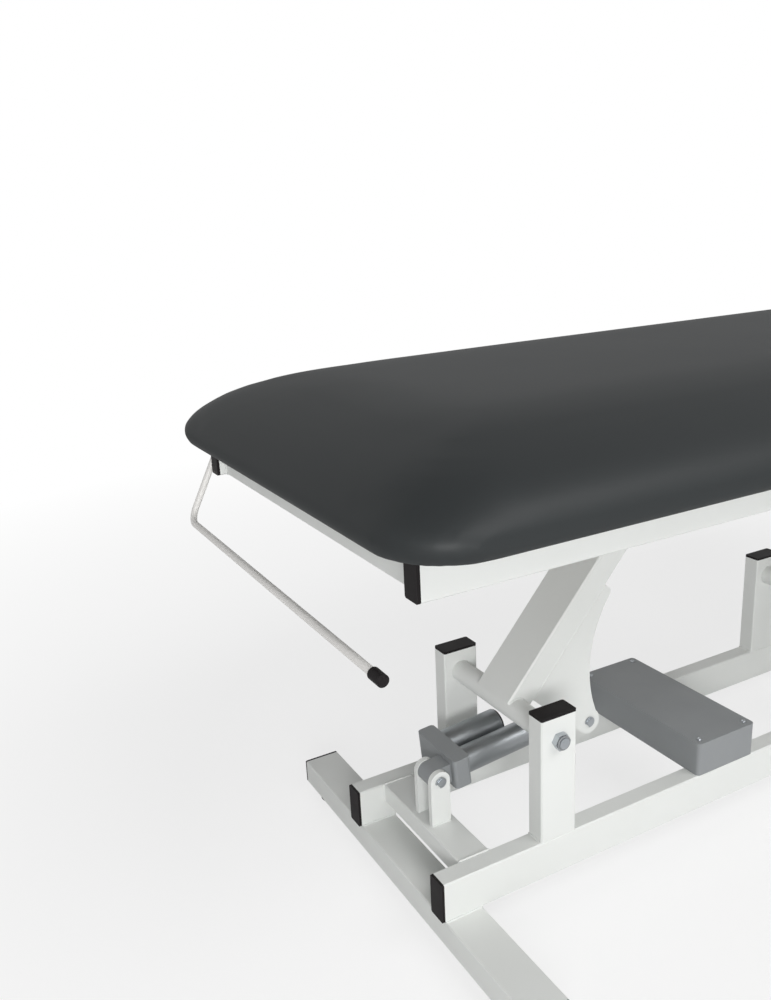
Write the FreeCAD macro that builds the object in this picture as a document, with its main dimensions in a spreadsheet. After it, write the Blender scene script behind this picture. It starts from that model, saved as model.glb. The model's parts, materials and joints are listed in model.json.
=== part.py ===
import FreeCAD, Part
import math
import os
import Sketcher

# Height-adjustable massage table: a padded top on a tube frame, lifted by two parallel arms
# that swing on a floor base and are driven by one linear actuator.
# Millimetres, +Z up, +X along the table away from the roll bar, origin on the floor under the
# middle of the table.

SIZES = {
    # table top frame, rectangular tube
    "frame_width": 610,
    "rail_height": 50,
    "rail_width": 25,
    "tube_wall": 2,
    "tube_bevel": 1.8,
    "end_rail_setback": 10,
    "cap_flange": 4,
    "cap_depth": 18,
    # upholstered pad and its board
    "pad_length": 1960,
    "pad_thickness": 104,
    "pad_overhang": 44,
    "pad_side_overhang": 64,
    "pad_corner": 88,
    "pad_inner_corner": 8,
    "crown_reach": 215,
    "crown_start": 18,
    "under_round": 15,
    "board_thickness": 15,
    "board_margin": 70,
    "board_corner": 44,
    "board_gap": 0.3,
    "breathing_length": 190,
    "breathing_width": 120,
    "breathing_setback": 190,
    "breathing_collar": 10,
    # lifting arms
    "pivot_setback": 304,
    "pivot_height": 270,
    "pivot_drop": 30,
    "arm_length": 407,
    "arm_angle": 48.6,
    "arm_spacing": 700,
    "beam_width": 80,
    "beam_depth": 40,
    "beam_wall": 3,
    "beam_bevel": 2.4,
    "weld_gap": 0.1,
    "sleeve_diameter": 34,
    "side_play": 0.5,
    "axle_diameter": 16,
    "axle_play": 0.08,
    "axle_head": 26,
    "axle_head_height": 9,
    "axle_end": 12,
    # base
    "post_gap": 214,
    "post_length": 60,
    "post_width": 30,
    "post_rise": 35,
    "base_rail_height": 60,
    "base_front": 190,
    "base_rear": 560,
    "foot_inset": 30,
    "cross_foot_length": 640,
    "cross_foot_width": 60,
    "cross_foot_height": 40,
    "rubber_height": 15,
    "rubber_diameter": 44,
    "rubber_taper": 2,
    "rubber_inset": 40,
    "plug_flange": 4,
    "plug_depth": 16,
    # actuator and its levers
    "drive_radius": 150,
    "drive_pin_angle": -25,
    "anchor_angle": -145,
    "lift_down": 38.6,
    "drive_pin": 12,
    "pin_play": 0.08,
    "pin_end": 4,
    "lug_thickness": 6,
    "lug_radius": 20,
    "lug_start": 24,
    "lug_tip": 225,
    "lug_tip_depth": 16,
    "lug_tip_round": 7,
    "lug_sweep": 200,
    "cross_bar_width": 50,
    "cross_bar_height": 30,
    "ear_thickness": 8,
    "ear_radius": 16,
    "pivot_ear_radius": 24,
    "clevis_width": 30,
    "eye_diameter": 30,
    "gear_case_start": 24,
    "gear_case_length": 28,
    "gear_case_height": 46,
    "guide_diameter": 40,
    "eye_clearance": 15.5,
    "rod_diameter": 22,
    "rod_play": 0.5,
    "rod_clearance": 5.5,
    "motor_diameter": 44,
    "motor_short": 17,
    "motor_offset": 50,
    "case_round": 6,
    # control box
    "box_length": 120,
    "box_height": 55,
    "box_setback": 330,
    "box_wall": 3,
    "lid_height": 12,
    "inlet_width": 28,
    "inlet_height": 20,
    "inlet_depth": 10,
    # roll bar
    "bar_diameter": 10,
    "bar_reach": 43,
    "bar_drop": 71,
    "bar_top": 42,
    "bar_bend": 22,
    "bar_end": 280,
    "bar_lean": 26.8,
    "bar_plate_thickness": 3,
    "bar_plate_length": 44,
    "bar_plate_height": 36,
    "bar_tip_length": 22,
    "bar_tip_wall": 2,
}

doc = FreeCAD.newDocument("MassageTable")
sheet = doc.addObject("Spreadsheet::Sheet", "Sizes")
for row, (name, number) in enumerate(SIZES.items(), start=1):
    sheet.set("A%d" % row, name)
    sheet.set("B%d" % row, str(number))
    sheet.setAlias("B%d" % row, name)
doc.recompute()

# Places worked out from the sizes, each bound by its own formula.
places = doc.addObject("App::VarSet", "Places")
PLACES = {
    "pad_width": "Sizes.frame_width + 2 * Sizes.pad_side_overhang",
    "rail_end": "-Sizes.pad_length / 2 + Sizes.pad_overhang",
    "rail_length": "Sizes.pad_length - 2 * Sizes.pad_overhang",
    "low_x": "Places.rail_end + Sizes.pivot_setback",
    "rear_x": "Places.low_x + Sizes.arm_spacing",
    "swing_x": "Sizes.arm_length * cos(Sizes.arm_angle)",
    "swing_z": "Sizes.arm_length * sin(Sizes.arm_angle)",
    "top_z": "Sizes.pivot_height + Places.swing_z",
    "rail_bottom": "Places.top_z + Sizes.pivot_drop",
    "rail_mid": "Places.rail_bottom + Sizes.rail_height / 2",
    "rail_top": "Places.rail_bottom + Sizes.rail_height",
    "rail_y": "(Sizes.frame_width - Sizes.rail_width) / 2",
    "cross_length": "Sizes.frame_width - 2 * Sizes.rail_width",
    "post_y": "(Sizes.post_gap + Sizes.post_width) / 2",
    "cross_foot_mid": "Sizes.rubber_height + Sizes.cross_foot_height / 2",
    "base_bottom": "Sizes.rubber_height + Sizes.cross_foot_height",
    "base_top": "Places.base_bottom + Sizes.base_rail_height",
    "base_start": "Places.low_x - Sizes.base_front",
    "base_length": "Sizes.arm_spacing + Sizes.base_front + Sizes.base_rear",
    "post_height": "Sizes.pivot_height + Sizes.post_rise - Places.base_top",
    "sleeve_length": "Sizes.post_gap - 2 * Sizes.side_play",
    "drive_x": "Places.low_x + Sizes.drive_radius * cos(Sizes.drive_pin_angle)",
    "drive_z": "Sizes.pivot_height + Sizes.drive_radius * sin(Sizes.drive_pin_angle)",
    "anchor_x": "Places.low_x + Sizes.drive_radius * cos(Sizes.anchor_angle)",
    "anchor_z": "Sizes.pivot_height + Sizes.drive_radius * sin(Sizes.anchor_angle)",
    "drive_span": "2 * Sizes.drive_radius * sin((Sizes.drive_pin_angle - Sizes.anchor_angle) / 2)",
    "closed_angle": "Sizes.drive_pin_angle - Sizes.anchor_angle - Sizes.lift_down",
    "closed_span": "2 * Sizes.drive_radius * sin(Places.closed_angle / 2)",
    "drive_tilt": "90 + (Sizes.drive_pin_angle + Sizes.anchor_angle) / 2",
    "lug_along": "Sizes.drive_radius * cos(Sizes.arm_angle - Sizes.drive_pin_angle)",
    "lug_depth": "Sizes.drive_radius * sin(Sizes.arm_angle - Sizes.drive_pin_angle)",
    "lug_y": "(Sizes.beam_width - Sizes.lug_thickness) / 2",
    "lug_gap": "Sizes.beam_width - 2 * Sizes.lug_thickness",
    "case_end": "Sizes.gear_case_start + Sizes.gear_case_length",
    "guide_reach": "Places.closed_span - Sizes.eye_diameter / 2 - Sizes.eye_clearance",
    "guide_length": "Places.guide_reach - Places.case_end",
    "motor_length": "Places.guide_length - Sizes.motor_short",
    "rod_length": "Places.closed_span - Places.case_end - Sizes.rod_clearance",
    "rod_bore": "Sizes.rod_diameter + 2 * Sizes.rod_play",
    "bar_y": "Sizes.frame_width / 2 + Sizes.bar_plate_thickness + Sizes.bar_diameter / 2",
    "bar_x": "Places.rail_end - Sizes.bar_reach",
    "bar_z": "Places.rail_bottom - Sizes.bar_drop",
    "bar_arm": "(Sizes.bar_drop + Sizes.bar_top) / cos(Sizes.bar_lean)",
    "breathing_x": "Sizes.pad_length / 2 - Sizes.breathing_setback",
    "box_x": "Places.low_x + Sizes.box_setback",
}
for name in list(PLACES) + ["trial_a", "trial_b"]:
    places.addProperty("App::PropertyFloat", name)
for name, formula in PLACES.items():
    places.setExpression(name, formula)
    doc.recompute()

pieces = []


def value(name):
    if name in SIZES:
        return float(sheet.get(name))
    return float(getattr(places, name))


def vector(x, y, z=0.0):
    return FreeCAD.Vector(x, y, z)


# An arc through three points, always kept anticlockwise.
def arc(first, middle, last):
    ahead, after = middle - first, last - middle
    if ahead.x * after.y - ahead.y * after.x < 0:
        first, last = last, first
    return Part.Arc(first, middle, last)


def new_body(label):
    body = doc.addObject("PartDesign::Body", label)
    body.Label = label
    pieces.append(body)
    return body


def sketch_on(body, role, name):
    plane = next(item for item in body.Origin.OriginFeatures if item.Role == role)
    sketch = body.newObject("Sketcher::SketchObject", body.Name + "_" + name)
    sketch.AttachmentSupport = [(plane, "")]
    sketch.MapMode = "FlatFace"
    return sketch


def dimension(sketch, name, formula, *constraint):
    index = sketch.addConstraint(Sketcher.Constraint(*constraint))
    sketch.renameConstraint(index, name)
    sketch.setExpression("Constraints." + name, formula)


# A rectangle centred at (x, y) of the sketch; the formulas bind its sides and its middle.
def rectangle(sketch, name, across, high, x="0", y="0"):
    first = sketch.GeometryCount
    corners = [(-10, -10), (10, -10), (10, 10), (-10, 10)]
    for index, start in enumerate(corners):
        stop = corners[(index + 1) % 4]
        sketch.addGeometry(Part.LineSegment(vector(*start), vector(*stop)))
    for index in range(4):
        sketch.addConstraint(
            Sketcher.Constraint("Coincident", first + index, 2, first + (index + 1) % 4, 1))
    for index in (0, 2):
        sketch.addConstraint(Sketcher.Constraint("Horizontal", first + index))
        sketch.addConstraint(Sketcher.Constraint("Vertical", first + index + 1))
    dimension(sketch, name + "_across", across, "DistanceX", first, 1, first, 2, 20.0)
    dimension(sketch, name + "_high", high, "DistanceY", first + 1, 1, first + 1, 2, 20.0)
    left = "(%s) - (%s) / 2" % (x, across)
    low = "(%s) - (%s) / 2" % (y, high)
    dimension(sketch, name + "_left", left, "DistanceX", first, 1, -10.0)
    dimension(sketch, name + "_low", low, "DistanceY", first, 1, -10.0)


def circle(sketch, name, diameter, x="0", y="0"):
    index = sketch.addGeometry(Part.Circle(vector(1, 1), vector(0, 0, 1), 5))
    dimension(sketch, name + "_x", x, "DistanceX", index, 3, 1.0)
    dimension(sketch, name + "_y", y, "DistanceY", index, 3, 1.0)
    dimension(sketch, name + "_size", diameter, "Diameter", index, 10.0)


def pad(body, sketch, length, symmetric=False):
    feature = body.newObject("PartDesign::Pad", sketch.Name + "_pad")
    feature.Profile = sketch
    if symmetric:
        feature.SideType = "Symmetric"
    feature.setExpression("Length", length)
    sketch.Visibility = False
    doc.recompute()
    return feature


# Cuts right through the body on both sides of the sketch, and makes sure that it did cut.
def cut_through(body, sketch):
    before = body.Shape.Volume
    feature = body.newObject("PartDesign::Pocket", sketch.Name + "_cut")
    feature.Profile = sketch
    feature.Type = "ThroughAll"
    feature.SideType = "Symmetric"
    doc.recompute()
    if not body.Shape.Volume < before:
        raise RuntimeError(sketch.Name + " cuts nothing")
    return feature


def edges_along(feature, direction, chosen):
    names = []
    for index, edge in enumerate(feature.Shape.Edges, start=1):
        ends = [vertex.Point for vertex in edge.Vertexes]
        if len(ends) != 2:
            continue
        run = (ends[1] - ends[0]).normalize()
        if abs(run.dot(direction)) > 0.999 and chosen(edge.CenterOfMass):
            names.append("Edge%d" % index)
    return names


# Rounds the chosen edges of a feature that run along the given direction.
def round_edges(body, feature, direction, radius, chosen=lambda point: True):
    fillet = body.newObject("PartDesign::Fillet", feature.Name + "_round")
    fillet.Base = (feature, edges_along(feature, direction, chosen))
    fillet.setExpression("Radius", radius)
    doc.recompute()


# Bevels the chosen edges of a feature that run along the given direction.
def bevel_edges(body, feature, direction, size, chosen=lambda point: True):
    bevel = body.newObject("PartDesign::Chamfer", feature.Name + "_bevel")
    bevel.Base = (feature, edges_along(feature, direction, chosen))
    bevel.setExpression("Size", size)
    doc.recompute()


def put(body, x="0", y="0", z="0", axis=None, angle="0"):
    if axis is not None:
        body.Placement = FreeCAD.Placement(vector(0, 0), FreeCAD.Rotation(vector(*axis), 1.0))
        body.setExpression("Placement.Rotation.Angle", angle)
    body.setExpression("Placement.Base.x", x)
    body.setExpression("Placement.Base.y", y)
    body.setExpression("Placement.Base.z", z)


AXES = {"YZ_Plane": (1, 0, 0), "XZ_Plane": (0, 1, 0), "XY_Plane": (0, 0, 1)}


# A rectangular tube square to one plane of its body, with its long edges bevelled.
def box_tube(label, role, across, high, length, wall="Sizes.tube_wall",
             bevel="Sizes.tube_bevel", symmetric=False):
    body = new_body(label)
    sketch = sketch_on(body, role, "section")
    rectangle(sketch, "outside", across, high)
    rectangle(sketch, "inside", "%s - 2 * %s" % (across, wall), "%s - 2 * %s" % (high, wall))
    feature = pad(body, sketch, length, symmetric)
    widest = feature.Shape.BoundBox
    direction = vector(*AXES[role])

    def outer(point):
        offsets = [abs(point.x) / widest.XMax, abs(point.y) / widest.YMax, abs(point.z) / widest.ZMax]
        del offsets[AXES[role].index(1)]
        return min(offsets) > 0.999

    bevel_edges(body, feature, direction, bevel, outer)
    return body


# A ring or rod that lies across the table, along Y.
def cross_round(label, diameter, length, bore=None):
    body = new_body(label)
    sketch = sketch_on(body, "XZ_Plane", "section")
    circle(sketch, "outside", diameter)
    if bore:
        circle(sketch, "bore", bore)
    pad(body, sketch, length, True)
    return body


def add_cross_hole(body, name, diameter, x="0", z="0"):
    sketch = sketch_on(body, "XZ_Plane", name)
    circle(sketch, "hole", diameter, x, z)
    cut_through(body, sketch)


# A closed outline of straight lines; each corner is a pair of formulas.
def polygon(sketch, name, corners):
    first = sketch.GeometryCount
    count = len(corners)
    ring = [vector(math.cos(2 * math.pi * k / count), math.sin(2 * math.pi * k / count))
            for k in range(count)]
    for index in range(count):
        sketch.addGeometry(Part.LineSegment(ring[index], ring[(index + 1) % count]))
    for index, (x, y) in enumerate(corners):
        following = first + (index + 1) % count
        sketch.addConstraint(Sketcher.Constraint("Coincident", first + index, 2, following, 1))
        dimension(sketch, "%s_x%d" % (name, index), x, "DistanceX", first + index, 1, 1.0)
        dimension(sketch, "%s_y%d" % (name, index), y, "DistanceY", first + index, 1, 1.0)


# A turned piece whose axis is Y; each corner of its half section is (radius, distance along Y).
def turned(label, corners):
    body = new_body(label)
    sketch = sketch_on(body, "XY_Plane", "section")
    polygon(sketch, "edge", corners)
    feature = body.newObject("PartDesign::Revolution", body.Name + "_turn")
    feature.Profile = sketch
    feature.ReferenceAxis = (sketch, ["V_Axis"])
    feature.Angle = 360
    doc.recompute()
    return body


# A plate with a round end about the pin at the origin and a straight edge at the given height.
def tongue(label, radius, height, thickness, hole):
    body = new_body(label)
    sketch = sketch_on(body, "XZ_Plane", "section")
    places.setExpression("trial_a", radius)
    places.setExpression("trial_b", height)
    doc.recompute()
    r, h = places.trial_a, places.trial_b
    sketch.addGeometry(Part.LineSegment(vector(-r, 0), vector(-r, h)))
    sketch.addGeometry(Part.LineSegment(vector(-r, h), vector(r, h)))
    sketch.addGeometry(Part.LineSegment(vector(r, h), vector(r, 0)))
    bottom = math.copysign(r, -h)
    sketch.addGeometry(arc(vector(-r, 0), vector(0, bottom), vector(r, 0)))
    begins_left = sketch.Geometry[3].StartPoint.x < 0
    sketch.addConstraint(Sketcher.Constraint("Coincident", 0, 2, 1, 1))
    sketch.addConstraint(Sketcher.Constraint("Coincident", 1, 2, 2, 1))
    sketch.addConstraint(Sketcher.Constraint("Coincident", 3, 1 if begins_left else 2, 0, 1))
    sketch.addConstraint(Sketcher.Constraint("Coincident", 3, 2 if begins_left else 1, 2, 2))
    sketch.addConstraint(Sketcher.Constraint("Coincident", 3, 3, -1, 1))
    sketch.addConstraint(Sketcher.Constraint("Vertical", 0))
    sketch.addConstraint(Sketcher.Constraint("Vertical", 2))
    sketch.addConstraint(Sketcher.Constraint("Horizontal", 1))
    sketch.addConstraint(Sketcher.Constraint("PointOnObject", 0, 1, -1))
    dimension(sketch, "radius", radius, "Radius", 3, r)
    dimension(sketch, "height", height, "DistanceY", 1, 1, h)
    circle(sketch, "pin_hole", hole)
    pad(body, sketch, thickness, True)
    return body


# A moulded end plug: a flange on the end of a tube and an insert that sits inside it.
def end_plug(label, across, high, flange, depth):
    body = new_body(label)
    face = sketch_on(body, "YZ_Plane", "flange")
    rectangle(face, "flange", across, high)
    plate = pad(body, face, flange)
    bevel_edges(body, plate, vector(1, 0, 0), "Sizes.tube_bevel")
    inner = sketch_on(body, "YZ_Plane", "insert")
    slack = "2 * (Sizes.tube_wall + Sizes.weld_gap)"
    rectangle(inner, "insert", "%s - %s" % (across, slack), "%s - %s" % (high, slack))
    stem = pad(body, inner, depth)
    stem.Reversed = True
    doc.recompute()
    return body


# A set of equal pieces in one node, as separate solids: each place is three formulas and a turn.
def group(label, body, spots):
    if body in pieces:
        pieces.remove(body)
    copies = []
    for index, (x, y, z, axis, angle) in enumerate(spots):
        copy = doc.addObject("App::Link", "%s_%d" % (label, index))
        copy.LinkedObject = body
        copy.LinkTransform = False
        copy.Placement = FreeCAD.Placement(vector(0, 0), FreeCAD.Rotation(vector(*axis), angle))
        copy.setExpression("Placement.Base.x", x)
        copy.setExpression("Placement.Base.y", y)
        copy.setExpression("Placement.Base.z", z)
        copies.append(copy)
    bundle = doc.addObject("Part::Compound", label)
    bundle.Links = copies
    bundle.Label = label
    pieces.append(bundle)
    return bundle


UP, ACROSS = (0, 0, 1), (0, 1, 0)
SIDES = (("near", "-"), ("far", ""))
ARMS = (("front", "Places.low_x"), ("rear", "Places.rear_x"))
FEET = (("front", "Places.base_start + Sizes.foot_inset"),
        ("rear", "Places.base_start + Places.base_length - Sizes.foot_inset"))

# Base: two long rails on two cross feet, with plugged tube ends and rubber feet.
rail_ends = ("Places.base_start", "Places.base_start + Places.base_length")
plug_spots = []
for side, sign in SIDES:
    body = box_tube("base_rail_" + side, "YZ_Plane", "Sizes.post_width", "Sizes.base_rail_height",
                    "Places.base_length")
    put(body, "Places.base_start", sign + "Places.post_y",
        "Places.base_bottom + Sizes.base_rail_height / 2")
    for end, turn in zip(rail_ends, (180, 0)):
        plug_spots.append((end, sign + "Places.post_y",
                           "Places.base_bottom + Sizes.base_rail_height / 2", UP, turn))
plug = end_plug("base_rail_plug", "Sizes.post_width", "Sizes.base_rail_height",
                "Sizes.plug_flange", "Sizes.plug_depth")
group("base_rail_plugs", plug, plug_spots)

plug_spots = []
rubber_spots = []
for end, x in FEET:
    body = box_tube(end + "_cross_foot", "XZ_Plane", "Sizes.cross_foot_width",
                    "Sizes.cross_foot_height", "Sizes.cross_foot_length", symmetric=True)
    put(body, x, "0", "Places.cross_foot_mid")
    for sign, turn in (("-", -90), ("", 90)):
        plug_spots.append((x, sign + "Sizes.cross_foot_length / 2", "Places.cross_foot_mid", UP, turn))
        rubber_spots.append((x, sign + "(Sizes.cross_foot_length / 2 - Sizes.rubber_inset)", "0",
                             (1, 0, 0), 90))
plug = end_plug("cross_foot_plug", "Sizes.cross_foot_width", "Sizes.cross_foot_height",
                "Sizes.plug_flange", "Sizes.plug_depth")
group("cross_foot_plugs", plug, plug_spots)
rubber = turned("rubber_foot", [
    ("0", "0"),
    ("Sizes.rubber_diameter / 2", "0"),
    ("Sizes.rubber_diameter / 2 - Sizes.rubber_taper", "Sizes.rubber_height"),
    ("0", "Sizes.rubber_height")])
group("rubber_feet", rubber, rubber_spots)

# Uprights that carry the lower axles, a plug on each top, and the axles with their nuts.
nut = doc.addObject("Part::Cut", "axle_nut")
nut.Base = doc.addObject("Part::Prism", "nut_body")
nut.Tool = doc.addObject("Part::Cylinder", "nut_bore")
nut.Base.Polygon = 6
nut.Base.setExpression("Circumradius", "Sizes.axle_head / 2")
nut.Base.setExpression("Height", "Sizes.axle_head_height")
nut.Tool.setExpression("Radius", "Sizes.axle_diameter / 2 + Sizes.weld_gap")
nut.Tool.setExpression("Height", "Sizes.axle_head_height")
nut_spots = {"lower": [], "upper": []}
plug_spots = []
post_hole = "Sizes.axle_diameter + 2 * Sizes.weld_gap"
for arm, x in ARMS:
    for side, sign in SIDES:
        post = box_tube("%s_upright_%s" % (arm, side), "XY_Plane", "Sizes.post_length",
                        "Sizes.post_width", "Places.post_height")
        add_cross_hole(post, "axle", post_hole, "0", "Sizes.pivot_height - Places.base_top")
        put(post, x, sign + "Places.post_y", "Places.base_top")
        plug_spots.append((x, sign + "Places.post_y", "Places.base_top + Places.post_height",
                           (0, 1, 0), -90))
    axle = cross_round(arm + "_lower_axle", "Sizes.axle_diameter",
                       "Sizes.post_gap + 2 * Sizes.post_width + 2 * Sizes.axle_end")
    put(axle, x, "0", "Sizes.pivot_height")
    nut_y = "(Sizes.post_gap / 2 + Sizes.post_width)"
    nut_spots["lower"].append((x, "-" + nut_y, "Sizes.pivot_height", (1, 0, 0), 90))
    nut_spots["lower"].append((x, nut_y, "Sizes.pivot_height", (1, 0, 0), -90))
plug = end_plug("upright_plug", "Sizes.post_width", "Sizes.post_length",
                "Sizes.plug_flange", "Sizes.plug_depth")
group("upright_plugs", plug, plug_spots)

# Two parallel arms: a broad beam between two pivot sleeves that turn on the axles.
sleeve_cut = "Sizes.sleeve_diameter + 2 * Sizes.weld_gap"
for arm, x in ARMS:
    beam = box_tube(arm + "_arm_beam", "YZ_Plane", "Sizes.beam_width", "Sizes.beam_depth",
                    "Sizes.arm_length", "Sizes.beam_wall", "Sizes.beam_bevel")
    add_cross_hole(beam, "low_sleeve", sleeve_cut)
    add_cross_hole(beam, "high_sleeve", sleeve_cut, "Sizes.arm_length")
    put(beam, x, "0", "Sizes.pivot_height", ACROSS, "-Sizes.arm_angle")
    levels = (("lower", x, "Sizes.pivot_height"), ("upper", x + " + Places.swing_x", "Places.top_z"))
    for level, along, high in levels:
        sleeve = cross_round("%s_%s_sleeve" % (arm, level), "Sizes.sleeve_diameter",
                             "Places.sleeve_length", "Sizes.axle_diameter + 2 * Sizes.axle_play")
        put(sleeve, along, "0", high)


# Drive lug: a plate under the front beam whose free edge sweeps in an arc down to the drive pin.
def drive_lug(label):
    body = new_body(label)
    sketch = sketch_on(body, "XZ_Plane", "section")
    under = -value("beam_depth") / 2
    start = vector(value("lug_start"), under)
    tip = vector(value("lug_tip"), under)
    toe = vector(value("lug_tip"), under - value("lug_tip_depth"))
    pin = vector(value("lug_along"), -value("lug_depth"))
    right = pin + vector(value("lug_radius"), 0)
    left = pin - vector(value("lug_radius"), 0)
    chord = right - toe
    middle = (right + toe) * 0.5
    rise = math.sqrt(value("lug_sweep") ** 2 - chord.Length ** 2 / 4)
    square = vector(-chord.y, chord.x).normalize()
    centre = middle + square * rise
    sweep = centre - square * value("lug_sweep")
    sketch.addGeometry(Part.LineSegment(start, tip))
    sketch.addGeometry(Part.LineSegment(tip, toe))
    sketch.addGeometry(arc(toe, sweep, right))
    sketch.addGeometry(arc(right, pin - vector(0, value("lug_radius")), left))
    sketch.addGeometry(Part.LineSegment(left, start))

    def end_at(index, point):
        return 1 if (sketch.Geometry[index].StartPoint - point).Length < 1e-6 else 2

    joins = ((0, tip, 1), (1, toe, 2), (2, right, 3), (3, left, 4), (4, start, 0))
    for index, point, following in joins:
        sketch.addConstraint(Sketcher.Constraint(
            "Coincident", index, end_at(index, point), following, end_at(following, point)))
    half = "-Sizes.beam_depth / 2"
    dimension(sketch, "start_x", "Sizes.lug_start", "DistanceX", 0, 1, start.x)
    dimension(sketch, "start_y", half, "DistanceY", 0, 1, start.y)
    dimension(sketch, "tip_x", "Sizes.lug_tip", "DistanceX", 0, 2, tip.x)
    dimension(sketch, "tip_y", half, "DistanceY", 0, 2, tip.y)
    dimension(sketch, "toe_x", "Sizes.lug_tip", "DistanceX", 1, 2, toe.x)
    dimension(sketch, "toe_y", half + " - Sizes.lug_tip_depth", "DistanceY", 1, 2, toe.y)
    dimension(sketch, "sweep", "Sizes.lug_sweep", "Radius", 2, value("lug_sweep"))
    dimension(sketch, "end_radius", "Sizes.lug_radius", "Radius", 3, value("lug_radius"))
    dimension(sketch, "pin_x", "Places.lug_along", "DistanceX", 3, 3, pin.x)
    dimension(sketch, "pin_y", "-Places.lug_depth", "DistanceY", 3, 3, pin.y)
    dimension(sketch, "right_y", "-Places.lug_depth", "DistanceY", 3, end_at(3, right), right.y)
    dimension(sketch, "left_y", "-Places.lug_depth", "DistanceY", 3, end_at(3, left), left.y)
    circle(sketch, "pin_hole", "Sizes.drive_pin + 2 * Sizes.weld_gap", "Places.lug_along",
           "-Places.lug_depth")
    plate = pad(body, sketch, "Sizes.lug_thickness", True)

    def at_toe(point):
        return math.hypot(point.x - toe.x, point.z - toe.y) < value("weld_gap")

    round_edges(body, plate, vector(0, 1, 0), "Sizes.lug_tip_round", at_toe)
    return body


for side, sign in SIDES:
    lug = drive_lug("drive_lug_" + side)
    put(lug, "Places.low_x", sign + "Places.lug_y", "Sizes.pivot_height", ACROSS, "-Sizes.arm_angle")
drive_pin = cross_round("drive_pin", "Sizes.drive_pin", "Sizes.beam_width + 2 * Sizes.pin_end")
put(drive_pin, "Places.drive_x", "0", "Places.drive_z")

# Actuator anchor on the base: a cross bar between the long rails, two ears and a pin.
bar = box_tube("actuator_cross_bar", "XZ_Plane", "Sizes.cross_bar_width", "Sizes.cross_bar_height",
               "Sizes.post_gap", symmetric=True)
put(bar, "Places.anchor_x", "0", "Places.base_top - Sizes.cross_bar_height / 2")
ear = tongue("actuator_ear", "Sizes.ear_radius", "Places.base_top - Places.anchor_z",
             "Sizes.ear_thickness", "Sizes.drive_pin + 2 * Sizes.weld_gap")
ear_y = "(Sizes.clevis_width / 2 + Sizes.side_play + Sizes.ear_thickness / 2)"
group("actuator_ears", ear, [("Places.anchor_x", sign + ear_y, "Places.anchor_z", UP, 0)
                             for side, sign in SIDES])
anchor_pin = cross_round("actuator_anchor_pin", "Sizes.drive_pin",
                         "2 * " + ear_y + " + Sizes.ear_thickness + 2 * Sizes.pin_end")
put(anchor_pin, "Places.anchor_x", "0", "Places.anchor_z")


# A round piece along the actuator, from one distance to another, beside its axis by offset.
def actuator_round(label, diameter, length, start, bore=None, offset="0"):
    body = new_body(label)
    sketch = sketch_on(body, "YZ_Plane", "section")
    circle(sketch, "outside", diameter)
    if bore:
        circle(sketch, "bore", bore)
    pad(body, sketch, length)
    shift_x = "(%s) * cos(Places.drive_tilt)" % start
    shift_z = "(%s) * sin(Places.drive_tilt)" % start
    put(body, "Places.anchor_x + " + shift_x, offset, "Places.anchor_z + " + shift_z,
        ACROSS, "-Places.drive_tilt")
    return body


# Actuator: gear case with its clevis eye, and the motor beside the guide tube.
case = new_body("actuator_gear_case")
plan = sketch_on(case, "XY_Plane", "plan")
case_low = "(Sizes.guide_diameter / 2 + Sizes.case_round)"
case_high = "(Sizes.motor_offset + Sizes.motor_diameter / 2 + Sizes.case_round)"
rectangle(plan, "plan", "Sizes.gear_case_length", case_high + " + " + case_low,
          "Sizes.gear_case_start + Sizes.gear_case_length / 2", "(%s - %s) / 2" % (case_high, case_low))
block = pad(case, plan, "Sizes.gear_case_height", True)
round_edges(case, block, vector(0, 0, 1), "Sizes.case_round")
neck = sketch_on(case, "XZ_Plane", "neck")
rectangle(neck, "neck", "Sizes.gear_case_start + Sizes.case_round", "Sizes.eye_diameter",
          "(Sizes.gear_case_start + Sizes.case_round) / 2")
pad(case, neck, "Sizes.clevis_width", True)
eye = sketch_on(case, "XZ_Plane", "eye")
circle(eye, "eye", "Sizes.eye_diameter")
pad(case, eye, "Sizes.clevis_width", True)
add_cross_hole(case, "pin_hole", "Sizes.drive_pin + 2 * Sizes.pin_play")
put(case, "Places.anchor_x", "0", "Places.anchor_z", ACROSS, "-Places.drive_tilt")
actuator_round("actuator_motor", "Sizes.motor_diameter", "Places.motor_length", "Places.case_end",
               offset="Sizes.motor_offset")
actuator_round("actuator_guide", "Sizes.guide_diameter", "Places.guide_length", "Places.case_end",
               "Places.rod_bore")

# Push rod: slides in the guide and carries the cross eye on the drive pin.
rod = actuator_round("actuator_rod", "Sizes.rod_diameter", "Places.rod_length",
                     "Places.drive_span - Places.rod_length")
add_cross_hole(rod, "eye", "Sizes.eye_diameter + 2 * Sizes.weld_gap", "Places.rod_length")
rod_eye = cross_round("rod_eye", "Sizes.eye_diameter", "Places.lug_gap - 2 * Sizes.side_play",
                      "Sizes.drive_pin + 2 * Sizes.pin_play")
put(rod_eye, "Places.drive_x", "0", "Places.drive_z")

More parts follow.
